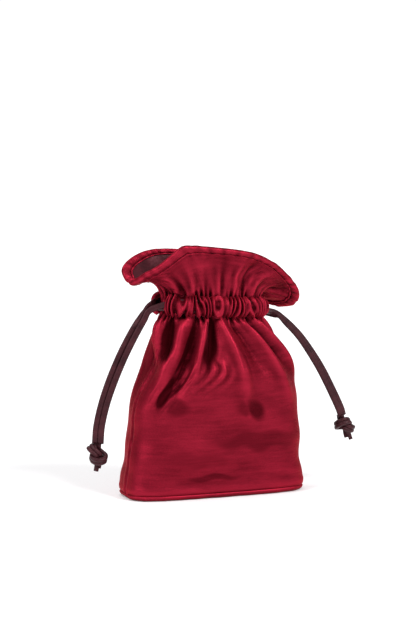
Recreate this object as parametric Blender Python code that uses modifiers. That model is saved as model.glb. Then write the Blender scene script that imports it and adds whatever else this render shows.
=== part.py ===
"""A velvet drawstring pouch, drawn shut and standing on its flat base.

Metres, +Z up.  The origin is the middle of the base, on the surface that the pouch stands on.
The front faces -Y.  A turn of the cloth starts at the left side seam, runs along the front to the
right side seam, and comes home along the back.
"""

import math

import bmesh
import bpy
import numpy as np
from mathutils import Vector

COLLECTION = "drawstring_pouch"

# Cloth, measured through the layers from the outside of the velvet inwards
VELVET = 0.0012
LINING = 0.0006
LINING_DEPTH = 0.0017
SEAM_GAP = 0.0008
STEEPEST_LEAN = 0.7

# The ring of cloth: equal segments a turn, and how far in front of the side the left seam lies
SEGMENTS = 40
HALF = SEGMENTS // 2
SEAM_LEAD = 0.005
OUTLINE_STEPS = 1440

# Levels of the body from the base seam to the neck:
# height, half width, half depth, squareness of the outline, shift to the right, fall to the right
BODY = (
    (0.0053, 0.0935, 0.0365, 4.0, 0.0000, 0.000),
    (0.0150, 0.0930, 0.0375, 3.8, 0.0000, 0.000),
    (0.0320, 0.0905, 0.0390, 3.4, 0.0005, 0.000),
    (0.0550, 0.0885, 0.0415, 3.0, 0.0010, 0.000),
    (0.0800, 0.0868, 0.0430, 2.8, 0.0018, 0.000),
    (0.1030, 0.0835, 0.0430, 2.6, 0.0045, 0.010),
    (0.1240, 0.0770, 0.0415, 2.5, 0.0075, 0.020),
    (0.1430, 0.0700, 0.0385, 2.4, 0.0060, 0.030),
    (0.1600, 0.0628, 0.0335, 2.3, 0.0020, 0.040),
    (0.1730, 0.0562, 0.0275, 2.2, -0.0010, 0.050),
)
NECK_LOW = 0.1795
NECK_HIGH = 0.1970
NECK = (0.0530, 0.0245, 2.1, -0.0015, 0.055)

# The collar above the neck: its free edge, as a closed curve from the left seam along the front
RIM = (
    (-0.0910, -0.0060, 0.2155),
    (-0.0830, -0.0200, 0.2115),
    (-0.0740, -0.0290, 0.2195),
    (-0.0600, -0.0355, 0.2365),
    (-0.0440, -0.0380, 0.2485),
    (-0.0100, -0.0370, 0.2455),
    (0.0270, -0.0350, 0.2420),
    (0.0615, -0.0250, 0.2215),
    (0.0840, -0.0115, 0.2050),
    (0.0950, 0.0010, 0.1925),
    (0.0890, 0.0120, 0.1840),
    (0.0760, 0.0240, 0.1880),
    (0.0560, 0.0310, 0.2100),
    (0.0270, 0.0330, 0.2320),
    (-0.0150, 0.0300, 0.2410),
    (-0.0520, 0.0250, 0.2430),
    (-0.0770, 0.0160, 0.2370),
    (-0.0930, 0.0050, 0.2255),
)
COLLAR_RISE = 0.030
COLLAR_STEPS = (0.3, 0.6)
BINDING_DEPTH = 0.008
BINDING = 0.0008
BINDING_GAP = 0.0006

# The base and its lining: rings from the flat middle to the base seam, as height and inset
BASE_EDGE = ((0.0000, 0.0075), (0.0010, 0.0030), (0.0030, 0.0000), (0.0050, 0.0000))
BASE_LINING_EDGE = ((0.0018, 0.0085), (0.0028, 0.0048), (0.0040, 0.0017), (0.0050, 0.0017))

# The casing strips: a tunnel section as share of the height and distance from the velvet
CASING = 0.0008
CASING_SECTION = (
    (0.00, 0.0004),
    (0.04, 0.0050),
    (0.16, 0.0079),
    (0.84, 0.0079),
    (0.96, 0.0050),
    (1.00, 0.0004),
)
CASING_FIRST = 2

# The drawstrings, one above the other in the tunnel
CORD = 0.006
CORD_STEP = 0.0085
CORD_OFFSET = 0.0034
STRAND_SPREAD = (0.0019, 0.0028)
LEFT_LEVEL = 0.1918
RIGHT_LEVEL = 0.1847

# The middle of each pair of strands, from where it leaves the neck to the top of its knot
LEFT_ROUTE = (
    (-0.0640, -0.0050, 0.1930),
    (-0.0690, -0.0050, 0.1870),
    (-0.0760, -0.0045, 0.1770),
    (-0.0850, -0.0040, 0.1620),
    (-0.0955, -0.0030, 0.1420),
    (-0.1060, -0.0020, 0.1180),
    (-0.1140, -0.0010, 0.0950),
    (-0.1190, 0.0000, 0.0730),
    (-0.1205, 0.0000, 0.0560),
)
RIGHT_ROUTE = (
    (0.0640, 0.0050, 0.1805),
    (0.0715, 0.0050, 0.1765),
    (0.0830, 0.0045, 0.1680),
    (0.0970, 0.0040, 0.1540),
    (0.1095, 0.0030, 0.1370),
    (0.1215, 0.0020, 0.1180),
    (0.1325, 0.0010, 0.0970),
    (0.1420, 0.0000, 0.0770),
    (0.1445, 0.0000, 0.0690),
)

# A knot: distance below the ends of the strands and radius, and how deep it is for its width
KNOT_PROFILE = (
    (0.0000, 0.0000),
    (0.0000, 0.0072),
    (0.0030, 0.0096),
    (0.0075, 0.0106),
    (0.0125, 0.0100),
    (0.0170, 0.0072),
    (0.0195, 0.0056),
    (0.0270, 0.0056),
    (0.0270, 0.0000),
)
KNOT_FLATNESS = 0.8
KNOT_GAP = 0.0005
KNOT_SIDES = 16

VELVET_RED = (0.33, 0.010, 0.026)
LINING_ROSE = (0.12, 0.010, 0.018)
CORD_BROWN = (0.048, 0.009, 0.014)


def unit(vectors):
    """The same directions, each of length one."""
    return vectors / np.linalg.norm(vectors, axis=-1, keepdims=True)


def evenly(outline, start, count):
    """Points a constant distance apart along a closed outline, the first one start along it."""
    closed = np.vstack((outline, outline[:1]))
    steps = np.linalg.norm(np.diff(closed, axis=0), axis=1)
    run = np.concatenate(([0.0], np.cumsum(steps)))
    wanted = (start + run[-1] * np.arange(count) / count) % run[-1]
    return np.column_stack([np.interp(wanted, run, closed[:, axis]) for axis in range(3)])


def level(height, half_width, half_depth, squareness, shift, fall):
    """One turn of the cloth round the body, on a rounded rectangle or oval."""
    angles = math.pi + np.linspace(0.0, 2.0 * math.pi, OUTLINE_STEPS, endpoint=False)
    power = 2.0 / squareness
    x = shift + half_width * np.sign(np.cos(angles)) * np.abs(np.cos(angles)) ** power
    y = half_depth * np.sign(np.sin(angles)) * np.abs(np.sin(angles)) ** power
    outline = np.column_stack((x, y, height - fall * x))
    return evenly(outline, SEAM_LEAD, SEGMENTS)


def spline(points, steps, closed):
    """A smooth curve through the points (Catmull-Rom), with the same steps between each two."""
    points = np.array(points)
    last = len(points) if closed else len(points) - 1
    if closed:
        padded = np.vstack((points[-1:], points, points[:2]))
    else:
        padded = np.vstack((2 * points[0] - points[1], points, 2 * points[-1] - points[-2]))
    curve = []
    for index in range(last):
        before, start, end, after = padded[index:index + 4]
        for share in np.arange(steps) / steps:
            bend = 2 * before - 5 * start + 4 * end - after
            twist = 3 * (start - end) + after - before
            curve.append(start + 0.5 * share * (end - before + share * (bend + share * twist)))
    if not closed:
        curve.append(points[-1])
    return np.array(curve)


def spaced(curve, step):
    """An open curve's points again, as near to step apart as divides its length evenly."""
    run = np.concatenate(([0.0], np.cumsum(np.linalg.norm(np.diff(curve, axis=0), axis=1))))
    count = max(2, round(run[-1] / step) + 1)
    wanted = np.linspace(0.0, run[-1], count)
    return np.column_stack([np.interp(wanted, run, curve[:, axis]) for axis in range(3)])


def cloth_levels():
    """The outside of the velvet, from the base seam to the rim: levels of SEGMENTS points."""
    levels = [level(*row) for row in BODY]
    neck = level(NECK_HIGH, *NECK)
    levels.append(level(NECK_LOW, *NECK))
    levels.append(neck)
    rim = evenly(spline(RIM, 24, closed=True), 0.0, SEGMENTS)
    crest = neck + (0.0, 0.0, COLLAR_RISE)
    for share in COLLAR_STEPS:
        levels.append((1 - share) ** 2 * neck + 2 * share * (1 - share) * crest + share ** 2 * rim)
    down = crest - rim
    levels.append(rim + BINDING_DEPTH * unit(down))
    levels.append(rim)
    return np.array(levels)


def outward(levels):
    """The way out of the cloth at each point, longer at creases so that layers stay parallel."""
    ahead = np.roll(levels, -1, axis=1) - levels
    behind = levels - np.roll(levels, 1, axis=1)
    above = np.concatenate((levels[1:] - levels[:-1], levels[-1:] - levels[-2:-1]))
    below = np.concatenate((levels[1:2] - levels[:1], levels[1:] - levels[:-1]))
    normal = unit(np.cross(ahead + behind, unit(above) + unit(below)))
    lean = np.ones(normal.shape[:2])
    for along in (ahead, behind):
        for up in (above, below):
            lean = np.minimum(lean, np.sum(normal * unit(np.cross(along, up)), axis=2))
    return normal / np.maximum(lean, STEEPEST_LEAN)[:, :, None]


def material(name, colour, roughness):
    """A plain finish for one sub-part."""
    finish = bpy.data.materials.new(name)
    finish.use_nodes = True
    shader = finish.node_tree.nodes["Principled BSDF"]
    shader.inputs["Base Color"].default_value = (*colour, 1.0)
    shader.inputs["Roughness"].default_value = roughness
    shader.inputs["Metallic"].default_value = 0.0
    return finish


def add_object(name, data, collection, finish):
    """A named object in the pouch's collection, in its own finish."""
    piece = bpy.data.objects.new(name, data)
    collection.objects.link(piece)
    piece.data.materials.append(finish)
    return piece


def sheet(name, rows, collection, finish, thickness, closed=False, capped=False, folded=None):
    """Cloth of the given thickness whose outside passes through the rows of points.

    Rows from folded on run back down inside, so their diagonals are mirrored to lie parallel.
    """
    mesh = bmesh.new()
    grid = [[mesh.verts.new(point) for point in row] for row in rows]
    columns = len(rows[0])
    for index, (lower, upper) in enumerate(zip(grid, grid[1:])):
        for left in range(columns if closed else columns - 1):
            right = (left + 1) % columns
            if folded is None or index < folded:
                mesh.faces.new((lower[left], lower[right], upper[right]))
                mesh.faces.new((lower[left], upper[right], upper[left]))
            else:
                mesh.faces.new((lower[left], lower[right], upper[left]))
                mesh.faces.new((lower[right], upper[right], upper[left]))
    if capped:
        mesh.faces.new(reversed(grid[0]))
    data = bpy.data.meshes.new(name)
    mesh.to_mesh(data)
    mesh.free()
    data.shade_smooth()
    data.set_sharp_from_angle(angle=math.radians(50))
    piece = add_object(name, data, collection, finish)
    solidify = piece.modifiers.new("thickness", "SOLIDIFY")
    solidify.thickness = thickness
    solidify.offset = -1.0
    solidify.use_even_offset = True
    return piece


def half_turn(rows, first):
    """The columns of a panel from the seam at column first to the next one, drawn in from both."""
    columns = [(first + index) % SEGMENTS for index in range(HALF + 1)]
    cut = np.array(rows)[:, columns].copy()
    for edge, inner in ((0, 1), (-1, -2)):
        away = cut[:, inner] - cut[:, edge]
        cut[:, edge] += 0.5 * SEAM_GAP * unit(away)
    return cut


def add_panels(levels, normals, collection):
    """The velvet front and back and the lining behind each, sewn at the sides."""
    inside = levels - LINING_DEPTH * normals
    for side, first in (("front", 0), ("back", HALF)):
        velvet = material(side + "_velvet", VELVET_RED, 0.6)
        satin = material(side + "_satin", LINING_ROSE, 0.45)
        sheet(side + "_panel", half_turn(levels, first), collection, velvet, VELVET)
        sheet(side + "_lining", half_turn(inside, first), collection, satin, LINING)


def add_base(collection):
    """The base, turned up to the base seam, and its lining."""
    _, half_width, half_depth, squareness, shift, fall = BODY[0]
    layers = (
        ("base_panel", BASE_EDGE, VELVET, material("base_velvet", VELVET_RED, 0.6)),
        ("base_lining", BASE_LINING_EDGE, LINING, material("base_satin", LINING_ROSE, 0.45)),
    )
    for name, edge, thickness, finish in layers:
        rows = [
            level(height, half_width - inset, half_depth - inset, squareness, shift, fall)
            for height, inset in edge
        ]
        sheet(name, rows, collection, finish, thickness, closed=True, capped=True)


def add_binding(levels, normals, collection):
    """The strip folded over the rim, from its outer edge over the top to its inner edge."""
    low, rim = levels[-2], levels[-1]
    low_out, rim_out = normals[-2], normals[-1]
    past = unit(np.cross(rim_out, np.roll(rim, -1, axis=0) - np.roll(rim, 1, axis=0)))
    outer = BINDING_GAP + BINDING
    inner = LINING_DEPTH + LINING + BINDING_GAP + BINDING
    top = rim + outer * past
    rows = (
        low + outer * low_out,
        rim + outer * rim_out,
        top + 0.4 * outer * rim_out,
        top - (inner - 0.6 * outer) * rim_out,
        rim - inner * rim_out,
        low - inner * low_out,
    )
    finish = material("binding_velvet", VELVET_RED, 0.6)
    sheet("rim_binding", rows, collection, finish, BINDING, closed=True, folded=3)


def add_casings(collection):
    """The two strips sewn round the neck as a tunnel, open at both side seams."""
    neck = np.array((level(NECK_LOW, *NECK), level(NECK_HIGH, *NECK)))
    normals = outward(neck)
    rows = []
    for share, distance in CASING_SECTION:
        turn = (1 - share) * neck[0] + share * neck[1]
        rows.append(turn + distance * normals[0])
    rows = np.array(rows)
    for side, first in (("front", 0), ("back", HALF)):
        columns = [(first + index) % SEGMENTS for index in range(CASING_FIRST, HALF - CASING_FIRST + 1)]
        finish = material(side + "_casing_velvet", VELVET_RED, 0.6)
        sheet(side + "_casing", rows[:, columns], collection, finish, CASING)


def cord_points(route, height, side_column):
    """A drawstring's middle: up one strand, once round the neck in the tunnel, down the other."""
    neck = np.array((level(height, *NECK), level(height + CORD, *NECK)))
    turn = neck[0] + CORD_OFFSET * outward(neck)[0]
    ring = [turn[(side_column + index) % SEGMENTS] for index in range(1, SEGMENTS)]
    middle = np.array(route)
    sideways = unit(np.cross(np.gradient(middle, axis=0), (0.0, 1.0, 0.0)))
    apart = STRAND_SPREAD[0] * sideways + np.array((0.0, STRAND_SPREAD[1], 0.0))
    back_first = 1.0 if ring[0][1] > ring[-1][1] else -1.0
    strands = []
    for sign, end in ((back_first, ring[0]), (-back_first, ring[-1])):
        path = np.vstack((end, middle + sign * apart))
        strands.append(spaced(spline(path, 24, closed=False), CORD_STEP))
    return np.vstack((strands[0][:0:-1], ring, strands[1][1:]))


def add_drawstring(side, route, height, side_column, collection):
    """A drawstring as one round tube from knot to knot end."""
    points = cord_points(route, height, side_column)
    name = side + "_drawstring"
    curve = bpy.data.curves.new(name, "CURVE")
    curve.dimensions = "3D"
    curve.bevel_depth = 0.5 * CORD
    curve.bevel_resolution = 2
    curve.use_fill_caps = True
    line = curve.splines.new("POLY")
    line.points.add(len(points) - 1)
    for target, point in zip(line.points, points):
        target.co = (*point, 1.0)
    add_object(name, curve, collection, material(side + "_cord_leather", CORD_BROWN, 0.5))


def add_knot(side, route, collection):
    """The outer shape of the knot that ties both ends of a drawstring, with its cut tails."""
    mesh = bmesh.new()
    previous = None
    for depth, radius in KNOT_PROFILE:
        height = -KNOT_GAP - depth
        if radius == 0.0:
            ring = [mesh.verts.new((0.0, 0.0, height))]
        else:
            turns = [2.0 * math.pi * index / KNOT_SIDES for index in range(KNOT_SIDES)]
            ring = [
                mesh.verts.new((radius * math.cos(turn), KNOT_FLATNESS * radius * math.sin(turn), height))
                for turn in turns
            ]
        if previous:
            for index in range(KNOT_SIDES):
                following = (index + 1) % KNOT_SIDES
                if len(ring) == 1:
                    mesh.faces.new((previous[index], ring[0], previous[following]))
                elif len(previous) == 1:
                    mesh.faces.new((previous[0], ring[index], ring[following]))
                else:
                    mesh.faces.new((previous[index], ring[index], ring[following], previous[following]))
        previous = ring
    data = bpy.data.meshes.new(side + "_knot")
    mesh.to_mesh(data)
    mesh.free()
    data.shade_smooth()
    knot = add_object(side + "_knot", data, collection, material(side + "_knot_leather", CORD_BROWN, 0.5))
    knot.location = route[-1]
    hanging = Vector(route[-1]) - Vector(route[-2])
    knot.rotation_mode = "QUATERNION"
    knot.rotation_quaternion = Vector((0.0, 0.0, -1.0)).rotation_difference(hanging)


def main():
    """Build the whole pouch."""
    for leftover in list(bpy.data.objects):
        bpy.data.objects.remove(leftover)
    collection = bpy.data.collections.new(COLLECTION)
    bpy.context.scene.collection.children.link(collection)
    levels = cloth_levels()
    normals = outward(levels)
    add_panels(levels, normals, collection)
    add_base(collection)
    add_casings(collection)
    add_binding(levels, normals, collection)
    for side, route, height, column in (
        ("left", LEFT_ROUTE, LEFT_LEVEL, 0),
        ("right", RIGHT_ROUTE, RIGHT_LEVEL, HALF),
    ):
        add_drawstring(side, route, height, column, collection)
        add_knot(side, route, collection)


main()
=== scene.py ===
"""The looks of the drawstring pouch: velvet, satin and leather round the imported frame.

Metres, +Z up, front facing -Y.  The cloth is one closed grid: its columns run from the left side
seam along the front to the right side seam and home along the back, its rows from the base seam
to the rim.  It starts on the frame's smooth form, and a cloth solver settles it into its folds.
"""

import math

import bpy
import numpy as np
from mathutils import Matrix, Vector


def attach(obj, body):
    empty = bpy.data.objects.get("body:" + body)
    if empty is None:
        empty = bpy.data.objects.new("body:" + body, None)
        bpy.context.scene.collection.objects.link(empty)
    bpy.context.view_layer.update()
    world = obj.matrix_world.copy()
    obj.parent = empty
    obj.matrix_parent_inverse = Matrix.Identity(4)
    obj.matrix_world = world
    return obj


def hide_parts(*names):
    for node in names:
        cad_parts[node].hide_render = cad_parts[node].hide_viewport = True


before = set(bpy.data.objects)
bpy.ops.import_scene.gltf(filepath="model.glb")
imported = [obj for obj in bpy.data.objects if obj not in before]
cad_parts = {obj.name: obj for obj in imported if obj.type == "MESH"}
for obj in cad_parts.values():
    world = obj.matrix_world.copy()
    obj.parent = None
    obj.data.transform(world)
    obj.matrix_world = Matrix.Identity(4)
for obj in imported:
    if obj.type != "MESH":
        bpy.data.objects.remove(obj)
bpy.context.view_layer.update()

# ---------------------------------------------------------------- the cloth's sizes, as the frame has them


# The cloth: levels of the body as height, half width, half depth, squareness, shift and fall to
# the right, then the neck and the free edge of the collar from the left seam along the front
BODY = (
    (0.0053, 0.0935, 0.0365, 4.0, 0.0000, 0.000),
    (0.0150, 0.0930, 0.0375, 3.8, 0.0000, 0.000),
    (0.0320, 0.0905, 0.0390, 3.4, 0.0005, 0.000),
    (0.0550, 0.0885, 0.0415, 3.0, 0.0010, 0.000),
    (0.0800, 0.0868, 0.0430, 2.8, 0.0018, 0.000),
    (0.1030, 0.0835, 0.0430, 2.6, 0.0045, 0.010),
    (0.1240, 0.0770, 0.0415, 2.5, 0.0075, 0.020),
    (0.1430, 0.0700, 0.0385, 2.4, 0.0060, 0.030),
    (0.1600, 0.0628, 0.0335, 2.3, 0.0020, 0.040),
    (0.1730, 0.0562, 0.0275, 2.2, -0.0010, 0.050),
)
NECK_LOW = 0.1795
NECK_HIGH = 0.1970
NECK = (0.0530, 0.0245, 2.1, -0.0015, 0.055)
RIM = (
    (-0.0905, -0.0060, 0.2135),
    (-0.0861, -0.0150, 0.2150),
    (-0.0785, -0.0240, 0.2222),
    (-0.0677, -0.0310, 0.2292),
    (-0.0572, -0.0360, 0.2389),
    (-0.0487, -0.0380, 0.2465),
    (-0.0400, -0.0385, 0.2488),
    (-0.0100, -0.0375, 0.2462),
    (0.0235, -0.0360, 0.2415),
    (0.0398, -0.0330, 0.2365),
    (0.0587, -0.0270, 0.2278),
    (0.0754, -0.0190, 0.2154),
    (0.0884, -0.0100, 0.2034),
    (0.0945, -0.0010, 0.1934),
    (0.0935, 0.0070, 0.1862),
    (0.0871, 0.0140, 0.1833),
    (0.0760, 0.0210, 0.1850),
    (0.0600, 0.0290, 0.2020),
    (0.0270, 0.0330, 0.2320),
    (-0.0150, 0.0300, 0.2410),
    (-0.0520, 0.0250, 0.2430),
    (-0.0770, 0.0160, 0.2370),
    (-0.0930, 0.0050, 0.2255),
)
# How far the collar rises before it turns out to the rim, by the share of the turn
COLLAR_RISE = (
    (0.00, 0.011),
    (0.07, 0.012),
    (0.16, 0.024),
    (0.25, 0.030),
    (0.34, 0.027),
    (0.43, 0.018),
    (0.50, 0.014),
    (0.60, 0.018),
    (0.75, 0.028),
    (0.90, 0.020),
    (1.00, 0.011),
)
SEAM_LEAD = 0.005

# Flat cuts
PANEL_WIDTH = 0.238
PANEL_HEIGHT = 0.252
TURN = 2 * PANEL_WIDTH

# The grid the cloth is solved on, coarse first
COARSE_COLUMNS = 208
COARSE_ROWS = 112
REFINE = 2

SEED = 7


# ---------------------------------------------------------------- small geometry helpers

def unit(vectors):
    """The same directions, each of length one."""
    return vectors / np.maximum(np.linalg.norm(vectors, axis=-1, keepdims=True), 1e-12)


def smoothstep(low, high, value):
    """0 below low, 1 above high, smooth between."""
    share = np.clip((value - low) / (high - low), 0.0, 1.0)
    return share * share * (3.0 - 2.0 * share)


def evenly(outline, start, count):
    """Points a constant distance apart along a closed outline, the first one start along it."""
    closed = np.vstack((outline, outline[:1]))
    steps = np.linalg.norm(np.diff(closed, axis=0), axis=1)
    run = np.concatenate(([0.0], np.cumsum(steps)))
    wanted = (start + run[-1] * np.arange(count) / count) % run[-1]
    return np.column_stack([np.interp(wanted, run, closed[:, axis]) for axis in range(3)])


def spline(points, steps, closed=False):
    """A smooth curve through the points (Catmull-Rom), with the same steps between each two."""
    points = np.array(points, dtype=float)
    last = len(points) if closed else len(points) - 1
    if closed:
        padded = np.vstack((points[-1:], points, points[:2]))
    else:
        padded = np.vstack((2 * points[0] - points[1], points, 2 * points[-1] - points[-2]))
    curve = []
    for index in range(last):
        before, start, end, after = padded[index:index + 4]
        for share in np.arange(steps) / steps:
            bend = 2 * before - 5 * start + 4 * end - after
            twist = 3 * (start - end) + after - before
            curve.append(start + 0.5 * share * (end - before + share * (bend + share * twist)))
    if not closed:
        curve.append(points[-1])
    return np.array(curve)


def spaced(curve, count):
    """An open curve's points again, count of them, evenly apart."""
    run = np.concatenate(([0.0], np.cumsum(np.linalg.norm(np.diff(curve, axis=0), axis=1))))
    wanted = np.linspace(0.0, run[-1], count)
    return np.column_stack([np.interp(wanted, run, curve[:, axis]) for axis in range(3)])


def level(height, half_width, half_depth, squareness, shift, fall, count):
    """One turn of the cloth round the body, on a rounded rectangle or oval."""
    angles = math.pi + np.linspace(0.0, 2.0 * math.pi, 2880, endpoint=False)
    power = 2.0 / squareness
    x = shift + half_width * np.sign(np.cos(angles)) * np.abs(np.cos(angles)) ** power
    y = half_depth * np.sign(np.sin(angles)) * np.abs(np.sin(angles)) ** power
    outline = np.column_stack((x, y, height - fall * x))
    return evenly(outline, SEAM_LEAD, count)


def waves(seed, number, across, up, around, high):
    """A smooth random field on the grid: cosines that repeat once a turn, about -1 to 1."""
    random = np.random.default_rng(seed)
    field = np.zeros(np.broadcast(around, high).shape)
    for _ in range(number):
        turns = random.integers(max(1, across // 3), across + 1)
        rise = random.uniform(-up, up)
        field += np.cos(2 * math.pi * (turns * around + rise * high + random.uniform()))
    return field / math.sqrt(number / 2)


# ---------------------------------------------------------------- the cloth's smooth form

def form_levels(count):
    """The smooth outside of the velvet: levels of count points from base seam to rim."""
    levels = [level(*row, count) for row in BODY]
    neck = level(NECK_HIGH, *NECK, count)
    levels.append(level(NECK_LOW, *NECK, count))
    levels.append(neck)
    rim = evenly(spline(RIM, 40, closed=True), 0.0, count)
    rise = np.interp(np.arange(count) / count, *zip(*COLLAR_RISE))
    for _ in range(count // 12):
        rise = 0.5 * rise + 0.25 * (np.roll(rise, 1) + np.roll(rise, -1))
    crest = neck + rise[:, None] * (0.0, 0.0, 1.0)
    for share in (0.12, 0.25, 0.4, 0.55, 0.7, 0.85, 1.0):
        levels.append((1 - share) ** 2 * neck + 2 * share * (1 - share) * crest + share ** 2 * rim)
    return np.array(levels)


def form(columns, rows):
    """The smooth form on the grid, and for each row the height share of the neck's two levels."""
    levels = form_levels(columns)
    steps = np.linalg.norm(np.diff(levels, axis=0), axis=2).mean(axis=1)
    run = np.concatenate(([0.0], np.cumsum(steps)))
    run /= run[-1]
    slopes = np.gradient(levels, run, axis=0)
    wanted = np.linspace(0.0, 1.0, rows + 1)
    index = np.clip(np.searchsorted(run, wanted, side="right") - 1, 0, len(run) - 2)
    span = (run[index + 1] - run[index])[:, None, None]
    share = ((wanted - run[index]) / (run[index + 1] - run[index]))[:, None, None]
    start, end = levels[index], levels[index + 1]
    leave, arrive = slopes[index] * span, slopes[index + 1] * span
    cubic = (2 * share ** 3 - 3 * share ** 2 + 1) * start + (share ** 3 - 2 * share ** 2 + share) * leave
    cubic += (-2 * share ** 3 + 3 * share ** 2) * end + (share ** 3 - share ** 2) * arrive
    return cubic, wanted, run[len(BODY)], run[len(BODY) + 1]


def grid_normals(points):
    """The way out of the cloth at each grid point."""
    along = np.roll(points, -1, axis=1) - np.roll(points, 1, axis=1)
    return unit(np.cross(along, np.gradient(points, axis=0)))


# ---------------------------------------------------------------- the folds

# The front's folds: where each leaves the neck and where it dies out, as shares of the way from
# the left seam to the right one, the height it dies out at, its width and its height (or depth)
FRONT_FOLDS = (
    (0.015, 0.00, 0.140, 0.036, 0.005),
    (0.095, 0.07, 0.132, 0.042, -0.0100),
    (0.185, 0.12, 0.118, 0.030, 0.006),
    (0.285, 0.15, 0.085, 0.040, -0.0130),
    (0.350, 0.26, 0.118, 0.026, 0.0065),
    (0.410, 0.335, 0.122, 0.036, -0.0125),
    (0.460, 0.560, 0.088, 0.026, 0.0065),
    (0.540, 0.660, 0.112, 0.036, -0.0045),
    (0.620, 0.790, 0.098, 0.024, 0.0065),
    (0.690, 0.860, 0.112, 0.034, -0.0050),
    (0.760, 0.935, 0.112, 0.022, 0.0060),
    (0.815, 0.950, 0.128, 0.028, -0.0060),
    (0.870, 0.980, 0.138, 0.022, 0.0060),
    (0.930, 1.000, 0.145, 0.030, -0.0065),
)
BACK_FOLDS = 12
PLEATS = 46
PLEAT_DEPTH = 0.0020

# How much longer the cloth is than its smooth form, by its distance below and above the neck
SLACK_BELOW = ((0.0, 0.03), (0.008, 0.17), (0.016, 0.26), (0.030, 0.22), (0.050, 0.13), (0.075, 0.055),
               (0.100, 0.018), (0.180, 0.004))
SLACK_ABOVE = ((0.0, 0.02), (0.006, 0.07), (0.014, 0.09), (0.024, 0.07), (0.036, 0.03), (0.055, 0.01))


def pleat_phase(around):
    """Where each column lies in the row of little pleats, in turns."""
    uneven = waves(SEED + 1, 7, 14, 0.0, around, 0.0)
    return PLEATS * around + 0.42 * uneven


def fold_field(around, height):
    """How far the cloth starts out of its smooth form, in folds that run down from the neck."""
    random = np.random.default_rng(SEED + 2)
    folds = [
        (0.5 * start, 0.5 * end, low, 0.5 * width, depth)
        for start, end, low, width, depth in FRONT_FOLDS
    ]
    for index in range(BACK_FOLDS):
        start = 0.5 + 0.5 * (index + 0.5 + random.uniform(-0.2, 0.2)) / BACK_FOLDS
        end = 0.75 + (start - 0.75) * random.uniform(1.15, 1.5)
        sign = 1.0 if index % 2 else -1.2
        folds.append((start, end, random.uniform(0.085, 0.13), 0.017, sign * random.uniform(0.005, 0.008)))
    field = np.zeros_like(height)
    for start, end, low, width, depth in folds:
        down = np.clip((NECK_LOW - height) / (NECK_LOW - low), 0.0, 1.8)
        middle = start + (end - start) * down ** 0.9
        away = (around - middle + 0.5) % 1.0 - 0.5
        swell = smoothstep(-0.1, 0.30, down) * np.exp(-np.maximum(down - 0.45, 0.0) ** 2 / 0.20)
        field += depth * swell * np.exp(-(away / (width * (0.75 + 0.75 * down))) ** 2)
    return field


def collar_field(around, above):
    """Soft pleats that leave the casing upwards and die out towards the rim."""
    random = np.random.default_rng(SEED + 9)
    field = np.zeros_like(around + above)
    for index in range(26):
        middle = (index + random.uniform(0.1, 0.9)) / 26
        size = random.uniform(0.0012, 0.0034) * (1 if index % 2 else -1)
        lean = random.uniform(-0.15, 0.15)
        reach = random.uniform(0.016, 0.034)
        away = (around - middle - lean * above + 0.5) % 1.0 - 0.5
        field += size * np.exp(-(away / 0.011) ** 2) * np.exp(-(above / reach) ** 2) * smoothstep(-0.002, 0.008, above)
    return field


def shape_folds(points, around, high, neck_low, neck_high):
    """The smooth form with the broad folds, before it settles, and the rows held at the neck."""
    normals = grid_normals(points)
    above = np.clip(high - neck_high, 0.0, 1.0) * PANEL_HEIGHT
    height = points[:, :, 2] + 0.0 * around
    folds = fold_field(around + 0.0 * height, height) * (high < neck_low)
    pleats = collar_field(around, above) * (high > neck_high)
    broad = 0.0016 * waves(SEED + 4, 9, 9, 2.0, around, high)
    broad *= smoothstep(0.0, 0.03, above) * (1.0 - smoothstep(0.026, 0.046, above))
    slack = 0.0009 * waves(SEED + 5, 12, 5, 7.0, around, high) * smoothstep(0.02, 0.12, high)
    slack *= 1.0 - smoothstep(neck_low - 0.25, neck_low, high)
    held = ((high >= neck_low) & (high <= neck_high)) * np.ones_like(around)
    return points + (folds + pleats + broad + slack)[:, :, None] * normals, held.astype(bool)


def little_pleats(points, around, high, neck_low, neck_high):
    """The settled cloth with the little pleats the casing's seams hold."""
    phase = pleat_phase(around)
    below = np.clip(neck_low - high, 0.0, 1.0) * PANEL_HEIGHT
    above = np.clip(high - neck_high, 0.0, 1.0) * PANEL_HEIGHT
    fade = np.exp(-(below / 0.0065) ** 1.3) * np.exp(-(above / 0.0048) ** 1.3)
    size = PLEAT_DEPTH * (1.0 + 0.35 * waves(SEED + 3, 6, 17, 0.0, around, 0.0))
    pleats = size * (np.cos(2 * math.pi * phase) - 0.9) * fade
    return points + pleats[:, :, None] * grid_normals(points)


# ---------------------------------------------------------------- the cloth solver

def push(points, step, rest, stiffness, only_push=False):
    """Moves each two points, step = (rows, columns) apart, towards their rest distance."""
    rows, columns = step
    here = points[:len(points) - rows] if rows else points
    there = np.roll(points[rows:], -columns, axis=1)
    apart = there - here
    length = np.linalg.norm(apart, axis=2)
    error = length - rest
    if only_push:
        error = np.minimum(error, 0.0)
    move = (0.5 * stiffness * error / np.maximum(length, 1e-9))[:, :, None] * apart
    change = np.zeros_like(points)
    change[:len(points) - rows] += move
    change[rows:] -= np.roll(move, columns, axis=1)
    return change


def blur(field):
    """The grid's field with each point moved to the middle of its neighbours."""
    padded = np.concatenate((2 * field[:1] - field[1:2], field, 2 * field[-1:] - field[-2:-1]))
    sides = np.roll(field, 1, axis=1) + np.roll(field, -1, axis=1)
    return 0.25 * (sides + padded[:-2] + padded[2:])


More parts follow.
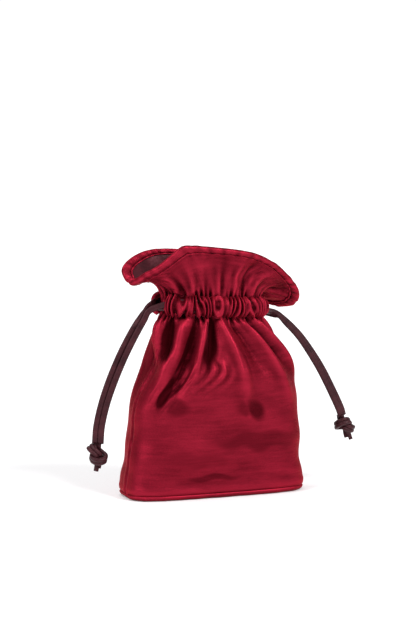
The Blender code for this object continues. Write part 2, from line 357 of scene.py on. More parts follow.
def settle(points, target, around_rest, up_rest, locked, hold, steps, stiff):
    """Lets the cloth settle: it keeps its lengths, resists tight bends and leans to its target."""
    last = points.copy()
    free = ~locked[:, :, None]
    pinned = points.copy()
    slant = np.sqrt(around_rest[:-1] ** 2 + up_rest ** 2)
    for _ in range(steps):
        moving = 0.88 * (points - last)
        last = points.copy()
        normals = grid_normals(points)
        drift = np.sum((target - points) * normals, axis=2, keepdims=True)
        points = points + moving + hold[:, :, None] * drift * normals
        points = np.where(free, points, pinned)
        for _ in range(5):
            change = push(points, (0, 1), around_rest, 0.9)
            change += push(points, (1, 0), up_rest, 0.9)
            change += push(points, (1, 1), slant, 0.12)
            change += push(points, (1, -1), slant, 0.12)
            change += push(points, (0, 3), 2.90 * around_rest, 0.30, only_push=True)
            change += push(points, (3, 0), 2.97 * up_rest[:-2], 0.35, only_push=True)
            points = np.where(free, points + 0.55 * change, pinned)
        rough = points - target
        rough -= blur(rough)
        points = np.where(free, points - stiff * (rough - blur(rough)), pinned)
    return points


def refine(points):
    """The grid with each step halved, on smooth curves through the old points."""
    def between(first, second, third, fourth):
        return (9 * (second + third) - first - fourth) / 16

    rows, columns, _ = points.shape
    wide = np.empty((rows, 2 * columns, 3))
    wide[:, 0::2] = points
    wide[:, 1::2] = between(
        np.roll(points, 1, axis=1), points, np.roll(points, -1, axis=1), np.roll(points, -2, axis=1)
    )
    padded = np.concatenate((2 * wide[:1] - wide[1:2], wide, 2 * wide[-1:] - wide[-2:-1]))
    tall = np.empty((2 * rows - 1, 2 * columns, 3))
    tall[0::2] = wide
    tall[1::2] = between(padded[:-3], padded[1:-2], padded[2:-1], padded[3:])
    return tall


def turn_lengths(smooth, high, neck_low, neck_high):
    """How long the cloth is round each row: its smooth form and the slack its folds take up."""
    below = np.clip(neck_low - high, 0.0, 1.0) * PANEL_HEIGHT
    above = np.clip(high - neck_high, 0.0, 1.0) * PANEL_HEIGHT
    length = np.linalg.norm(np.roll(smooth, -1, axis=1) - smooth, axis=2).sum(axis=1)
    slack = np.where(high < neck_high, np.interp(below, *zip(*SLACK_BELOW)), np.interp(above, *zip(*SLACK_ABOVE)))
    return length * (1.0 + slack)


def solve_cloth():
    """The settled cloth: a grid of points, closed round the pouch."""
    columns, rows = COARSE_COLUMNS, COARSE_ROWS
    points = None
    for stage in range(REFINE):
        smooth, high, neck_low, neck_high = form(columns, rows)
        around = (np.arange(columns) / columns)[None, :]
        turn = turn_lengths(smooth, high, neck_low, neck_high)
        high = high[:, None]
        target, locked = shape_folds(smooth, around, high, neck_low, neck_high)
        locked[0] = True
        locked[-1] = True
        points = target.copy() if points is None else np.where(locked[:, :, None], target, refine(points))
        around_rest = np.repeat((turn / columns)[:, None], columns, axis=1)
        up_rest = np.linalg.norm(np.diff(smooth, axis=0), axis=2)
        up_rest *= 1.0 + 0.012 * (1.0 - smoothstep(0.10, 0.45, high[:-1]))
        hold = np.full((rows + 1, columns), 0.020)
        seam = np.minimum(np.minimum(np.abs(around), np.abs(around - 0.5)), np.abs(around - 1.0))
        hold += 0.04 * np.exp(-(seam / 0.01) ** 2)
        hold += 0.10 * smoothstep(neck_high + 0.01, neck_high + 0.06, high)
        hold += 0.40 * smoothstep(0.925, 0.960, high)
        points = settle(points, target, around_rest, up_rest, locked, hold, (140, 40)[stage], (0.30, 0.20)[stage])
        columns *= 2
        rows *= 2
    points = little_pleats(points, around, high, neck_low, neck_high)
    return sew_seams(points, around, high)


def sew_seams(points, around, high):
    """The cloth drawn in along the two side seams and over the base seam."""
    away = TURN * np.minimum(np.minimum(around, np.abs(around - 0.5)), 1.0 - around)
    pucker = 1.0 + 0.3 * waves(SEED + 6, 9, 4, 30.0, around, high)
    drawn = -0.0013 * np.exp(-(away / 0.0014) ** 2) + 0.0005 * np.exp(-((away - 0.0042) / 0.0024) ** 2)
    up = high * PANEL_HEIGHT
    turned = -0.0014 * np.exp(-(up / 0.0011) ** 2) + 0.0008 * np.exp(-((up - 0.0055) / 0.0035) ** 2)
    return points + (pucker * drawn + turned)[:, :, None] * grid_normals(points)


# ---------------------------------------------------------------- meshes

def grid_mesh(name, points, flat=None, closed=False, marks=None):
    """A mesh from a grid of points [row][column], with its flat cut in metres as the UV map.

    A closed grid joins its last column to its first; flat then has one more column than points.
    """
    rows, columns, _ = points.shape
    data = bpy.data.meshes.new(name)
    index = np.arange(rows * columns).reshape(rows, columns)
    right = np.roll(index, -1, axis=1) if closed else index[:, 1:]
    left = index if closed else index[:, :-1]
    quads = np.stack((left[:-1], right[:-1], right[1:], left[1:]), axis=-1).reshape(-1, 4)
    data.from_pydata(points.reshape(-1, 3), [], quads.tolist())
    if flat is not None:
        corners = np.stack((flat[:-1, :-1], flat[:-1, 1:], flat[1:, 1:], flat[1:, :-1]), axis=2)
        layer = data.uv_layers.new(name="flat")
        layer.data.foreach_set("uv", corners.reshape(-1).astype(np.float32))
    for mark, values in (marks or {}).items():
        attribute = data.attributes.new(mark, "FLOAT", "POINT")
        attribute.data.foreach_set("value", values.reshape(-1).astype(np.float32))
    data.shade_smooth()
    data.update()
    return data


def flat_cut(width, height, columns, rows):
    """The flat cut's positions in metres on a grid of columns and rows of points."""
    across, up = np.meshgrid(np.linspace(0.0, width, columns), np.linspace(0.0, height, rows))
    return np.stack((across, up), axis=-1)


def add_piece(name, data, material):
    """A piece of the pouch that rides on its one body."""
    piece = bpy.data.objects.new(name, data)
    bpy.context.scene.collection.objects.link(piece)
    data.materials.append(material)
    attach(piece, "root")
    return piece


def thicken(piece, thickness):
    """Gives an open sheet its thickness, inwards."""
    solid = piece.modifiers.new("thickness", "SOLIDIFY")
    solid.thickness = thickness
    solid.offset = -1.0


def sweep(path, width, depth, facing, sides=14, taper=None, groove=0.0):
    """A flat oval tube round a path: a ring of points for each of the path's.

    facing gives the way the broad face looks at each point.  A groove is pressed into both faces.
    """
    along = unit(np.gradient(path, axis=0))
    across = unit(np.cross(along, facing))
    out = np.cross(across, along)
    turns = 2.0 * math.pi * np.arange(sides) / sides
    cosine = np.sign(np.cos(turns)) * np.abs(np.cos(turns)) ** 0.75
    sine = np.sign(np.sin(turns)) * np.abs(np.sin(turns)) ** 0.75
    sine = sine * (1.0 - groove * np.exp(-(cosine / 0.22) ** 2))
    size = np.ones(len(path)) if taper is None else taper
    wide = 0.5 * width * size[:, None, None] * cosine[None, :, None] * across[:, None, :]
    deep = 0.5 * depth * size[:, None, None] * sine[None, :, None] * out[:, None, :]
    return path[:, None, :] + wide + deep


def tube_mesh(name, tubes, width):
    """A mesh of closed tubes, each a list of rings, with length and way round as the UV map."""
    vertices, faces, marks = [], [], []
    start = 0
    for rings in tubes:
        count, sides, _ = rings.shape
        run = np.concatenate(([0.0], np.cumsum(np.linalg.norm(np.diff(rings.mean(axis=1), axis=0), axis=1))))
        vertices.append(rings.reshape(-1, 3))
        for row in range(count - 1):
            for side in range(sides):
                other = (side + 1) % sides
                corners = ((row, side), (row, other), (row + 1, other), (row + 1, side))
                faces.append([start + r * sides + c for r, c in corners])
                shares = (side, side + 1, side + 1, side)
                marks += [(run[r], 2.2 * width * c / sides) for (r, _), c in zip(corners, shares)]
        faces.append([start + side for side in range(sides)][::-1])
        faces.append([start + (count - 1) * sides + side for side in range(sides)])
        marks += [(0.0, 2.2 * width * side / sides) for side in range(sides)][::-1]
        marks += [(run[-1], 2.2 * width * side / sides) for side in range(sides)]
        start += count * sides
    data = bpy.data.meshes.new(name)
    data.from_pydata(np.concatenate(vertices), [], faces)
    layer = data.uv_layers.new(name="flat")
    layer.data.foreach_set("uv", np.array(marks, dtype=np.float32).reshape(-1))
    data.shade_smooth()
    data.update()
    return data


# ---------------------------------------------------------------- cloth pieces

# Patches of painted shade on the front, in fold valleys and across the lower part: share of the way across,
# height, half width, half height, lean to the right going up, and strength
SHADE_PATCHES = (
    (0.085, 0.160, 0.034, 0.024, 0.5, 0.95),
    (0.225, 0.150, 0.022, 0.030, 1.3, 0.95),
    (0.165, 0.108, 0.042, 0.016, 1.4, 1.00),
    (0.375, 0.155, 0.040, 0.026, 1.0, 1.00),
    (0.590, 0.088, 0.060, 0.012, -2.0, 0.60),
    (0.520, 0.086, 0.030, 0.008, 0.0, 0.40),
    (0.230, 0.090, 0.050, 0.009, 0.0, 0.50),
    (0.420, 0.021, 0.140, 0.0035, 0.0, 0.50),
    (0.640, 0.056, 0.260, 0.011, 0.0, 0.40),
    (0.300, 0.040, 0.200, 0.010, 0.0, 0.25),
    (0.880, 0.150, 0.026, 0.010, -2.0, 0.75),
)


def shade_patches(cloth):
    """How much painted shade each point below the neck gets, 0 to 1, with ragged edges."""
    columns = cloth.shape[1]
    around = (np.arange(columns) / columns)[None, :]
    high = np.linspace(0.0, 1.0, len(cloth))[:, None]
    across = 2.0 * around + 0.010 * waves(SEED + 40, 9, 15, 3.0, around, high)
    height = cloth[:, :, 2] + 0.0015 * waves(SEED + 41, 9, 15, 4.0, around, high)
    field = np.zeros(cloth.shape[:2])
    for middle, level_height, half_width, half_height, lean, strength in SHADE_PATCHES:
        up = (height - level_height) / half_height
        side = (across - middle - lean * (height - level_height)) / half_width
        field = np.maximum(field, strength * (1.0 - smoothstep(0.55, 1.35, np.sqrt(up ** 2 + side ** 2))))
    return field * (cloth[:, :, 2] < NECK_LOW)


def folded(cloth):
    """How sharply the cloth bends at each point: above 0 on ridges and below 0 in valleys; the velvet paints
    highlights on the ridges and shade in the valleys from it.
    """
    soft = cloth
    for _ in range(8):
        soft = blur(soft)
    bend = np.sum((soft - blur(blur(soft))) * grid_normals(soft), axis=2)
    size = np.linalg.norm(np.roll(soft, -1, axis=1) - soft, axis=2) ** 2 + 1e-9
    bend = np.clip(bend / size / 130.0, -1.0, 1.0)
    for _ in range(2):
        bend = blur(bend[:, :, None])[:, :, 0]
    return bend


def add_panels(cloth, velvet):
    """The front and back panels: the settled cloth parted at its two side seams."""
    columns = cloth.shape[1]
    half = columns // 2
    flat = flat_cut(PANEL_WIDTH, PANEL_HEIGHT, half + 1, len(cloth))
    painted_shade, painted_light = shade_patches(cloth), folded(cloth)
    for side, first in (("front", 0), ("back", half)):
        chosen = (first + np.arange(half + 1)) % columns
        # These marks paint patches of shade on the front, and highlights on ridges with shade in valleys.
        marks = {"painted_shade": painted_shade[:, chosen], "painted_light": painted_light[:, chosen]}
        data = grid_mesh(side + "_velvet", cloth[:, chosen], flat, marks=marks)
        panel = add_piece(side + "_velvet", data, velvet)
        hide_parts(side + "_panel")


def add_linings(cloth, satin):
    """The satin linings, which follow the velvet's folds a little inside it."""
    softer = cloth - 0.0017 * grid_normals(cloth)
    for _ in range(6):
        softer[1:-1] = blur(softer)[1:-1]
    softer -= 0.0004 * grid_normals(softer)
    softer = softer[2:-2:2, ::2]
    columns = softer.shape[1]
    half = columns // 2
    size = (PANEL_WIDTH - 0.004, PANEL_HEIGHT - 0.004)
    flat = flat_cut(*size, half + 1, len(softer))
    for side, first in (("front", 0), ("back", half)):
        chosen = (first + np.arange(half + 1)) % columns
        data = grid_mesh(side + "_satin", softer[:, chosen], flat)
        lining = add_piece(side + "_satin", data, satin)
        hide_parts(side + "_lining")
    floor = []
    for share, height in ((1.0, 0.0075), (0.985, 0.0042), (0.95, 0.0026), (0.90, 0.0021), (0.60, 0.0020), (0.02, 0.0020)):
        ring = softer[0] * (share, share, 0.0)
        ring[:, 2] = height + 0.0 * ring[:, 2]
        floor.append(ring)
    rings = np.array(floor)
    flat = rings[:, :, :2][:, np.arange(columns + 1) % columns]
    lining = add_piece("base_satin", grid_mesh("base_satin", rings, flat, closed=True), satin)
    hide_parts("base_lining")


def add_base(cloth, velvet):
    """The velvet base: its edge rolls up out of the floor to the seam."""
    seam = cloth[0]
    columns = len(seam)
    # The edge's steps: inset from the seam, height, and painted light: above 0 a painted highlight on the rolled edge,
    # below 0 painted shade at the seam and under the roll.
    profile = (
        (0.0012, 0.0058, -1.0),
        (0.0002, 0.0053, 0.3),
        (-0.0006, 0.0046, 0.7),
        (-0.0008, 0.0038, 0.5),
        (-0.0003, 0.0026, 0.0),
        (0.0006, 0.0014, -0.3),
        (0.0020, 0.0005, -0.5),
        (0.0040, 0.0000, -0.5),
        (0.0120, 0.0002, 0.0),
        (0.0240, 0.0004, 0.0),
    )
    middle = seam.mean(axis=0) * (1.0, 1.0, 0.0)
    outwards = unit(np.cross(np.roll(seam, -3, axis=0) - np.roll(seam, 3, axis=0), (0.0, 0.0, 1.0)))
    ripple = 0.0003 * waves(SEED + 20, 9, 30, 0.0, np.arange(columns) / columns, 0.0)
    rings = []
    for inset, height, _ in profile:
        ring = seam - (inset + ripple)[:, None] * outwards
        ring[:, 2] = height
        rings.append(ring)
    for share in (0.6, 0.3, 0.02):
        rings.append(middle + share * (rings[len(profile) - 1] - middle))
    rings = np.array(rings[::-1])
    flat = rings[:, :, :2][:, np.arange(columns + 1) % columns] + (0.5, 0.5)
    # Painted highlight and shade on the base's edge, taken from the steps above.
    painted_edge_light = np.array([light for _, _, light in profile] + [0.0] * 3)[::-1, None] * np.ones(columns)
    marks = {"painted_shade": 0.0 * painted_edge_light, "painted_light": painted_edge_light}
    data = grid_mesh("base_velvet", rings, flat, closed=True, marks=marks)
    base = add_piece("base_velvet", data, velvet)
    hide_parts("base_panel")


# A binding's section: the distance down the cloth from the rim, how far it stands off the cloth,
# and the light painted on it: above 0 a painted highlight, below 0 painted shade in the ditch and under the lip
BINDING_SECTION = (
    (0.0082, 0.0000, -1.2),
    (0.0081, 0.0007, -0.5),
    (0.0077, 0.0012, 0.5),
    (0.0072, 0.0014, 0.7),
    (0.0067, 0.0011, 0.0),
    (0.0063, 0.0002, -1.2),
    (0.0059, 0.0011, -0.4),
    (0.0052, 0.0016, 0.1),
    (0.0038, 0.0018, 0.1),
    (0.0022, 0.0018, 0.2),
    (0.0008, 0.0014, 0.5),
    (-0.0003, 0.0005, 0.4),
)


def add_binding(cloth, velvet):
    """The rim's binding: a strip folded over the edge of both layers and stitched in a ditch."""
    normals = grid_normals(cloth)
    for _ in range(12):
        normals = unit(blur(normals))
    columns = cloth.shape[1]
    rim, below = cloth[-1], cloth[-8]
    past = unit(rim - below)
    step = np.linalg.norm(np.diff(cloth[-12:], axis=0), axis=2).mean()
    around = np.arange(columns) / columns
    pucker = 1.0 + 0.05 * waves(SEED + 21, 16, 70, 0.0, around, 0.0)
    layers = 0.0024

    def at(down, off):
        row = down / step
        first = int(min(max(row, 0.0), 10.0))
        share = max(row, 0.0) - first
        point = (1 - share) * cloth[-1 - first] + share * cloth[-2 - first]
        normal = unit((1 - share) * normals[-1 - first] + share * normals[-2 - first])
        return point + off[:, None] * normal - min(down, 0.0) * past

    rings = [at(down, off * pucker) for down, off, _ in BINDING_SECTION]
    rings.append(at(-0.0008, -0.5 * layers + 0.0 * pucker))
    for down, off, _ in BINDING_SECTION[::-1]:
        rings.append(at(down, -layers - 0.7 * off * pucker))
    # Painted highlight and shade on the binding, from its section, varied unevenly round the rim.
    painted_edge_light = [light for _, _, light in BINDING_SECTION]
    painted_edge_light = np.array(painted_edge_light + [0.0] + painted_edge_light[::-1])[:, None] + 0.25 * waves(SEED + 23, 16, 70, 0.0, around, 0.0)
    rings = np.array(rings)
    run = np.concatenate(([0.0], np.cumsum(np.linalg.norm(np.diff(rings, axis=0), axis=2).mean(axis=1))))
    flat = flat_cut(TURN, run[-1], columns + 1, len(rings))
    flat[:, :, 1] = run[:, None]
    marks = {"painted_shade": 0.0 * painted_edge_light, "painted_light": painted_edge_light}
    data = grid_mesh("rim_velvet", rings, flat, closed=True, marks=marks)
    data.flip_normals()
    binding = add_piece("rim_velvet", data, velvet)
    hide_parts("rim_binding")


# The casings: how far each reaches round the neck, in turns from the left seam
CASINGS = (("front", 0.017, 0.482), ("back", 0.522, 0.968))
CASING_PLEATS = 1.10


def add_casings(velvet):
    """The two ruched tunnels sewn round the outside of the neck."""
    for number, (side, first, last) in enumerate(CASINGS):
        columns, rows = 420, 30
        around = np.linspace(first, last, columns)[None, :]
        high = np.linspace(0.0, 1.0, rows)[:, None]
        low_ring = level(NECK_LOW - 0.0012, *NECK, 2000)
        high_ring = level(NECK_HIGH + 0.0012, *NECK, 2000)
        place = around[0] * 2000
        low_line = np.column_stack([np.interp(place, np.arange(2000), low_ring[:, axis]) for axis in range(3)])
        high_line = np.column_stack([np.interp(place, np.arange(2000), high_ring[:, axis]) for axis in range(3)])
        base = low_line + high[:, :, None] * (high_line - low_line)
        normals = unit(np.cross(np.gradient(low_line, axis=0), (0.0, 0.0, 1.0)))[None]
        seed = SEED + 30 + 10 * number
        slant = 0.55 * waves(seed, 5, 5, 0.0, around, 0.0)
        bend = 0.22 * waves(seed + 1, 8, 16, 0.8, around, high)
        phase = CASING_PLEATS * pleat_phase(around) + slant * (high - 0.5) + bend
        size = 1.0 + 0.45 * waves(seed + 2, 8, 22, 0.0, around, 0.0)
        edge = np.abs(2.0 * high - 1.0)
        ridge = 2.0 * (0.5 + 0.5 * np.cos(2.0 * math.pi * phase)) ** 1.5 - 0.9
        second = waves(seed + 3, 14, 60, 1.2, around, high)
        bulge = 0.0072 * np.sin(math.pi * np.clip(high, 0.02, 0.98)) ** 0.55
        out = bulge + (0.0011 + 0.0009 * edge) * size * ridge + 0.0003 * second
        out += 0.0004 - 0.0014 * edge ** 6
        ends = np.minimum(around - first, last - around) / (last - first)
        out -= 0.0016 * np.exp(-(ends / 0.012) ** 2)
        points = base + out[:, :, None] * normals
        droop = (1.0 - high) ** 3 * (0.0011 * size * ridge + 0.0006 * second)
        lift = high ** 3 * (0.0007 * size * ridge + 0.0005 * second)
        points[:, :, 2] += lift - droop
        tunnel = 0.119
        flat = flat_cut(2.0 * tunnel, 0.024, columns, rows)
        # Painted highlights on the pleat ridges and painted shade in the gaps between them.
        data = grid_mesh(side + "_tunnel", points, flat, marks={"painted_shade": 0.0 * out, "painted_light": 1.1 * size * ridge + 0.3 * second})
        casing = add_piece(side + "_tunnel", data, velvet)
        thicken(casing, 0.0008)
        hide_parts(side + "_casing")


# ---------------------------------------------------------------- drawstrings

CORD_OFFSET = 0.0024
LEFT_LEVEL = 0.1918
RIGHT_LEVEL = 0.1847

# The middle of each side's two strands, from the casing's gap to the knot
LEFT_ROUTE = (
    (-0.0640, -0.0050, 0.1930),
    (-0.0690, -0.0050, 0.1870),
    (-0.0760, -0.0045, 0.1770),
    (-0.0850, -0.0040, 0.1620),
    (-0.0955, -0.0030, 0.1420),
    (-0.1060, -0.0020, 0.1180),
    (-0.1140, -0.0010, 0.0950),
    (-0.1190, 0.0000, 0.0730),
    (-0.1205, 0.0000, 0.0560),
)
RIGHT_ROUTE = (
    (0.0640, 0.0050, 0.1805),
    (0.0715, 0.0050, 0.1765),
    (0.0830, 0.0045, 0.1680),
    (0.0970, 0.0040, 0.1540),
    (0.1095, 0.0030, 0.1370),
    (0.1215, 0.0020, 0.1180),
    (0.1325, 0.0010, 0.0970),
    (0.1420, 0.0000, 0.0770),
    (0.1445, 0.0000, 0.0690),
)


def neck_run(height, first, last, count):
    """Points in the tunnels from one turn share to another, at a drawstring's own height."""
    ring = level(height, *NECK, 2000)
    away = unit(np.cross(np.roll(ring, -1, axis=0) - np.roll(ring, 1, axis=0), (0.0, 0.0, 1.0)))
    ring = ring + CORD_OFFSET * away
    place = (np.linspace(first, last, count) * 2000) % 2000
    index = place.astype(int) % 2000
    return ring[index], away[index]


def strand(route, height, side_turn, front):
    """One free strand: out of its tunnel and down to the knot, and the way its broad face looks."""
    sign = 1.0 if front else -1.0
    inside, looks = neck_run(height, side_turn + sign * 0.105, side_turn + sign * 0.055, 5)
    middle = np.array(route)[1:]
    along = unit(np.gradient(middle, axis=0))
    across = unit(np.cross(along, (0.0, 1.0, 0.0)))
    share = np.linspace(0.0, 1.0, len(middle))[:, None]
    way = 1.0 if (front == (middle[0][0] < 0.0)) else -1.0
    apart = way * (0.0014 + 0.0010 * smoothstep(0.0, 0.6, share)) * across
    depth = -sign * (0.0030 - 0.0016 * smoothstep(0.1, 0.8, share)) * np.array((0.0, 1.0, 0.0))
    path = spline(np.vstack((inside, middle + apart + depth)), 10)
    path = spaced(path, 72)
    outwards = unit(np.array((0.25 * np.sign(middle[0][0]), -1.0, 0.0)))
    blend = smoothstep(0.10, 0.45, np.linspace(0.0, 1.0, len(path)))[:, None]
    facing = unit((1.0 - blend) * looks[-1] + blend * outwards)
    return path, facing


def add_drawstring(side, route, height, side_turn, leather):
    """A drawstring: two strands down to the knot and the hidden run round the neck between them."""
    for front in (True, False):
        path, facing = strand(route, height, side_turn, front)
        rings = sweep(path, 0.0062, 0.0034, facing, groove=0.16)
        name = f"{side}_strand_{'front' if front else 'back'}"
        piece = add_piece(name, tube_mesh(name, [rings], 0.0058), leather)
        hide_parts(side + "_drawstring")
    path, facing = neck_run(height, side_turn + 0.105, side_turn + 0.895, 160)
    rings = sweep(path, 0.0058, 0.0032, facing)
    name = side + "_hidden_run"
    hidden = add_piece(name, tube_mesh(name, [rings], 0.0058), leather)
    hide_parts(side + "_drawstring")


def tight_knot(size):
    """The middle of a rope of the given size pulled into a tight overhand knot, along z."""
    turn = np.linspace(-2.12, 2.12, 110)
    path = np.column_stack((4.2 * (turn ** 3 - 3 * turn), 3.6 * (turn ** 4 - 4 * turn ** 2), -1.1 * (turn ** 5 - 10 * turn)))
    path *= 0.001
    path -= path.mean(axis=0) * (1, 1, 0)
    count = 110
    path = spaced(path, count)
    ends = path[[0, -1]] * (0.0, 0.0, 1.0)
    for _ in range(520):
        path[1:-1] += 0.35 * (0.5 * (path[:-2] + path[2:]) - path[1:-1])
        path[[0, -1]] += 0.02 * (ends - path[[0, -1]])
        spacing = np.linalg.norm(np.diff(path, axis=0), axis=1).mean()
        apart = path[:, None] - path[None]
        distance = np.linalg.norm(apart, axis=2) + 1e-9
        near = np.abs(np.arange(count)[:, None] - np.arange(count)) * spacing < 1.55 * size
        overlap = np.where(near, 0.0, np.maximum(size - distance, 0.0))
        path += 0.25 * np.sum((overlap / distance)[:, :, None] * apart, axis=1)
        path = spaced(path, count)
    return path


def add_knot(side, route, turned, leather):
    """The overhand knot in both strands together, with their two cut tails."""
    rope = tight_knot(0.0068)
    heart = rope[np.linalg.norm(rope - rope.mean(axis=0), axis=1) < 0.02].mean(axis=0)
    rope = rope - heart
    keep = (rope[:, 2] < 0.013) & (rope[:, 2] > -0.017)
    rope = rope[np.argmax(keep):len(rope) - np.argmax(keep[::-1])]
    if rope[0, 2] < rope[-1, 2]:
        rope = rope[::-1]
    rope = spaced(rope, 130)
    heading = unit(np.array(route[-1]) - np.array(route[-2]))
    axis = -heading
    cross = unit(np.cross((math.cos(turned), math.sin(turned), 0.0), axis))
    other = np.cross(axis, cross)
    centre = np.array(route[-1]) + 0.0105 * heading
    frame_of = np.array((cross, other, axis))
    path = centre + rope @ frame_of
    middle = path.mean(axis=0)
    facing = unit(path - middle + 0.15 * np.array((0.0, -0.01, 0.0)))
    along = unit(np.gradient(path, axis=0))
    across = unit(np.cross(along, facing))
    for _ in range(8):
        across[1:-1] = unit(across[:-2] + across[1:-1] + across[2:])
    facing = np.cross(across, along)
    tubes = []
    for sign in (1.0, -1.0):
        own = path + sign * 0.0019 * across
        last = slice(None) if sign > 0 else slice(None, -4)
        tubes.append(sweep(own[last], 0.0042, 0.0046, facing[last], sides=12))
    name = side + "_overhand_knot"
    knot = add_piece(name, tube_mesh(name, tubes, 0.0058), leather)
    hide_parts(side + "_knot")
    return knot


# ---------------------------------------------------------------- materials

def new_material(name):
    """An empty Principled material: its node tree, links and shader."""
    material = bpy.data.materials.new(name)
    material.use_nodes = True
    nodes = material.node_tree.nodes
    return material, nodes, material.node_tree.links, nodes["Principled BSDF"]


def settings(shader, **values):
    """Sets the shader's sockets by name, with _ for each space."""
    for name, value in values.items():
        shader.inputs[name.replace("_", " ")].default_value = value


def noise(nodes, links, source, scale, stretch=(1.0, 1.0, 1.0), detail=3.0, roughness=0.55):
    """A noise texture on the flat cut in metres; returns its value from 0 to 1."""
    mapping = nodes.new("ShaderNodeMapping")
    mapping.inputs["Scale"].default_value = stretch
    links.new(source, mapping.inputs["Vector"])
    texture = nodes.new("ShaderNodeTexNoise")
    texture.inputs["Scale"].default_value = scale
    texture.inputs["Detail"].default_value = detail
    texture.inputs["Roughness"].default_value = roughness
    links.new(mapping.outputs["Vector"], texture.inputs["Vector"])
    return texture.outputs["Fac"]


def maths(nodes, links, operation, first, second):
    """One step of arithmetic on sockets or numbers."""
    node = nodes.new("ShaderNodeMath")
    node.operation = operation
    for socket, value in zip(node.inputs, (first, second)):
        if isinstance(value, (int, float)):
            socket.default_value = value
        else:
            links.new(value, socket)
    return node.outputs["Value"]


def spread(nodes, links, value, low, high, new_low, new_high):
    """A value moved from one range to another, and kept inside it."""
    node = nodes.new("ShaderNodeMapRange")
    links.new(value, node.inputs["Value"])
    for name, number in (("From Min", low), ("From Max", high), ("To Min", new_low), ("To Max", new_high)):
        node.inputs[name].default_value = number
    return node.outputs["Result"]


def blend(nodes, links, share, first, second, mode="MIX"):
    """One colour mixed into another by a share; a colour is a socket or three numbers."""
    node = nodes.new("ShaderNodeMix")
    node.data_type = "RGBA"
    node.blend_type = mode
    for socket, value in ((node.inputs["Factor"], share), (node.inputs["A"], first), (node.inputs["B"], second)):
        if isinstance(value, (int, float)):
            socket.default_value = value
        elif isinstance(value, tuple):
            socket.default_value = (*value, 1.0)
        else:
            links.new(value, socket)
    return node.outputs["Result"]


def bump(nodes, links, shader, heights):
    """Bump from one or more heights, each given with its depth in metres."""
    normal = None
    for height, depth in heights:
        node = nodes.new("ShaderNodeBump")
        node.inputs["Strength"].default_value = 1.0
        node.inputs["Distance"].default_value = depth
        links.new(height, node.inputs["Height"])
        if normal is not None:
            links.new(normal, node.inputs["Normal"])
        normal = node.outputs["Normal"]
    links.new(normal, shader.inputs["Normal"])


def mark(nodes, name):
    """A point mark of the mesh, as a number."""
    node = nodes.new("ShaderNodeAttribute")
    node.attribute_name = name
    return node.outputs["Fac"]


def velvet_material(name):
    """Crimson silk velvet with a red-tinted gloss and sheen; its colour has random tone, painted highlights on ridges,
    painted shade in valleys and patches of painted shade on the front.
    """
    material, nodes, links, shader = new_material(name)
    flat = nodes.new("ShaderNodeUVMap").outputs["UV"]
    fine = noise(nodes, links, flat, 620.0, (1.0, 1.7, 1.0), 4.0, 0.65)
    cloud = noise(nodes, links, flat, 38.0, (0.55, 1.5, 1.0), 4.0, 0.6)
    streak = noise(nodes, links, flat, 120.0, (0.25, 2.4, 1.0), 3.0, 0.6)
    pile = noise(nodes, links, flat, 2600.0, (1.0, 1.0, 1.0), 2.0, 0.6)
    painted_light, painted_shade = mark(nodes, "painted_light"), mark(nodes, "painted_shade")
    # Random tone from noise, with painted highlights on ridges and painted shade in valleys from the bend of the
    # cloth.
    shade = maths(nodes, links, "ADD", spread(nodes, links, fine, 0.28, 0.72, -0.20, 0.20),
                  spread(nodes, links, cloud, 0.30, 0.70, -0.26, 0.26))
    shade = maths(nodes, links, "ADD", shade, spread(nodes, links, streak, 0.30, 0.70, -0.16, 0.16))
    shade = maths(nodes, links, "ADD", shade, spread(nodes, links, painted_light, -0.8, 0.8, -0.85, 0.75))
    share = spread(nodes, links, shade, -1.0, 1.0, 0.0, 1.0)
    colour = blend(nodes, links, share, (0.030, 0.0006, 0.0020), (0.400, 0.0160, 0.0400))
    # Patches of painted shade on the front, their edges ragged from noise; the same patches make the velvet a little
    # rougher.
    ragged = maths(nodes, links, "ADD", painted_shade, spread(nodes, links, cloud, 0.3, 0.7, -0.16, 0.16))
    ragged = maths(nodes, links, "ADD", ragged, spread(nodes, links, fine, 0.3, 0.7, -0.12, 0.12))
    painted_shade = spread(nodes, links, ragged, 0.12, 0.80, 0.0, 0.92)
    colour = blend(nodes, links, painted_shade, colour, (0.022, 0.0004, 0.0012))
    links.new(colour, shader.inputs["Base Color"])
    rough = maths(nodes, links, "ADD", spread(nodes, links, fine, 0.3, 0.7, 0.34, 0.46), maths(nodes, links, "MULTIPLY", painted_shade, 0.25))
    links.new(rough, shader.inputs["Roughness"])
    settings(shader, Metallic=0.62, Specular_IOR_Level=0.10, Specular_Tint=(1.0, 0.14, 0.22, 1.0),
             Sheen_Weight=0.22, Sheen_Roughness=0.30, Sheen_Tint=(1.0, 0.08, 0.16, 1.0))
    bump(nodes, links, shader, ((pile, 0.00012), (fine, 0.00022), (cloud, 0.0010)))
    return material


def satin_material(name):
    """Dusky rose-brown satin with a fine twill."""
    material, nodes, links, shader = new_material(name)
    flat = nodes.new("ShaderNodeUVMap").outputs["UV"]
    cloud = noise(nodes, links, flat, 45.0, (1.0, 1.0, 1.0), 3.0)
    thread = noise(nodes, links, flat, 1400.0, (1.0, 0.12, 1.0), 2.0)
    colour = blend(nodes, links, spread(nodes, links, cloud, 0.3, 0.7, 0.0, 1.0), (0.022, 0.0022, 0.0045), (0.085, 0.0090, 0.0170))
    links.new(colour, shader.inputs["Base Color"])
    links.new(spread(nodes, links, thread, 0.3, 0.7, 0.30, 0.44), shader.inputs["Roughness"])
    settings(shader, Metallic=0.15, Specular_IOR_Level=0.45, Specular_Tint=(1.0, 0.45, 0.5, 1.0))
    bump(nodes, links, shader, ((thread, 0.00006), (cloud, 0.0012)))
    return material


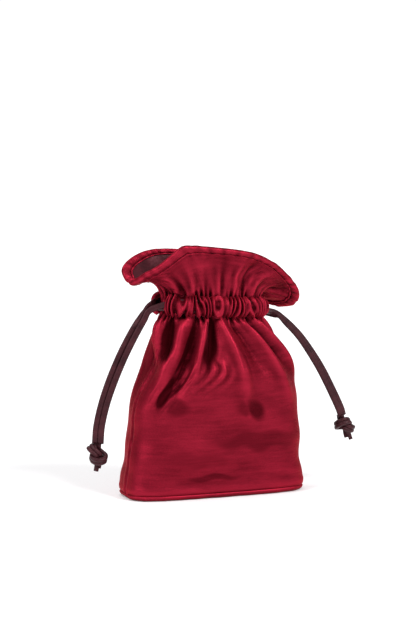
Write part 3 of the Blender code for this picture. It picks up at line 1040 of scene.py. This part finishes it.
def leather_material(name):
    """Dark wine-brown leather: fine grain, creases across, a soft shine."""
    material, nodes, links, shader = new_material(name)
    flat = nodes.new("ShaderNodeUVMap").outputs["UV"]
    grain = nodes.new("ShaderNodeTexVoronoi")
    grain.inputs["Scale"].default_value = 1500.0
    links.new(flat, grain.inputs["Vector"])
    cloud = noise(nodes, links, flat, 110.0, (1.0, 0.4, 1.0), 4.0)
    crease = noise(nodes, links, flat, 420.0, (1.0, 0.22, 1.0), 3.0)
    colour = blend(nodes, links, spread(nodes, links, cloud, 0.3, 0.7, 0.0, 1.0), (0.016, 0.0034, 0.0052), (0.052, 0.0110, 0.0150))
    links.new(colour, shader.inputs["Base Color"])
    links.new(spread(nodes, links, cloud, 0.3, 0.7, 0.38, 0.52), shader.inputs["Roughness"])
    settings(shader, Specular_IOR_Level=0.32, Specular_Tint=(1.0, 0.62, 0.66, 1.0))
    bump(nodes, links, shader, ((grain.outputs["Distance"], 0.00012), (crease, 0.00030)))
    return material


# ---------------------------------------------------------------- camera, light and floor

def add_camera():
    """A long lens from the front left, a little above."""
    target = np.array((0.0, 0.0, 0.120))
    azimuth, elevation, distance = math.radians(-22.0), math.radians(7.0), 1.85
    away = np.array((
        math.sin(azimuth) * math.cos(elevation),
        -math.cos(azimuth) * math.cos(elevation),
        math.sin(elevation),
    ))
    right = np.array((math.cos(azimuth), math.sin(azimuth), 0.0))
    up = np.cross(away, right)
    data = bpy.data.cameras.new("camera")
    camera = bpy.data.objects.new("camera", data)
    bpy.context.scene.collection.objects.link(camera)
    camera.location = target + distance * away
    aim = target + 0.061 * up - 0.004 * right
    camera.rotation_euler = Vector(aim - np.array(camera.location)).to_track_quat("-Z", "Y").to_euler()
    data.lens = 36.0 * distance / 0.624
    data.sensor_width = 36.0
    data.clip_start = 0.05
    bpy.context.scene.camera = camera


def add_sun(name, towards, strength, softness):
    """A broad even light from a direction, its softness in degrees."""
    data = bpy.data.lights.new(name, "SUN")
    data.energy = strength
    data.angle = math.radians(softness)
    lamp = bpy.data.objects.new(name, data)
    lamp.rotation_euler = Vector(towards).to_track_quat("Z", "Y").to_euler()
    bpy.context.scene.collection.objects.link(lamp)


def add_studio():
    """A pale floor, a white surround and soft lamps."""
    scene = bpy.context.scene
    scene.view_settings.view_transform = "Standard"
    world = bpy.data.worlds.new("surround")
    world.use_nodes = True
    surround = world.node_tree.nodes["Background"]
    surround.inputs["Color"].default_value = (1.0, 1.0, 1.0, 1.0)
    seen = world.node_tree.nodes.new("ShaderNodeLightPath").outputs["Is Camera Ray"]
    strength = spread(world.node_tree.nodes, world.node_tree.links, seen, 0.0, 1.0, 0.32, 1.05)
    world.node_tree.links.new(strength, surround.inputs["Strength"])
    scene.world = world
    data = bpy.data.meshes.new("floor")
    half = 6.0
    data.from_pydata([(-half, -half, 0), (half, -half, 0), (half, half, 0), (-half, half, 0)], [], [(0, 1, 2, 3)])
    floor = bpy.data.objects.new("floor", data)
    scene.collection.objects.link(floor)
    material, _, _, shader = new_material("floor_white")
    settings(shader, Base_Color=(0.95, 0.95, 0.96, 1.0), Roughness=0.9, Specular_IOR_Level=0.1,
             Emission_Color=(1.0, 1.0, 1.0, 1.0), Emission_Strength=0.12)
    data.materials.append(material)
    add_sun("key", (0.55, -1.0, 0.95), 2.2, 20.0)
    add_sun("left", (-1.0, -0.35, 0.75), 1.5, 24.0)
    add_sun("top", (-0.15, 0.35, 1.0), 1.0, 40.0)


# ---------------------------------------------------------------- the pouch

def main():
    """Dress the frame."""
    add_camera()
    leather = leather_material("cord_leather")
    left_knot = add_knot("left", LEFT_ROUTE, 0.4, leather)
    add_drawstring("left", LEFT_ROUTE, LEFT_LEVEL, 0.0, leather)
    right_knot = add_knot("right", RIGHT_ROUTE, 2.2, leather)
    add_drawstring("right", RIGHT_ROUTE, RIGHT_LEVEL, 0.5, leather)
    add_studio()
    velvet = velvet_material("velvet")
    satin = satin_material("satin")
    cloth = solve_cloth()
    add_panels(cloth, velvet)
    add_linings(cloth, satin)
    add_base(cloth, velvet)
    add_binding(cloth, velvet)
    add_casings(velvet)


main()
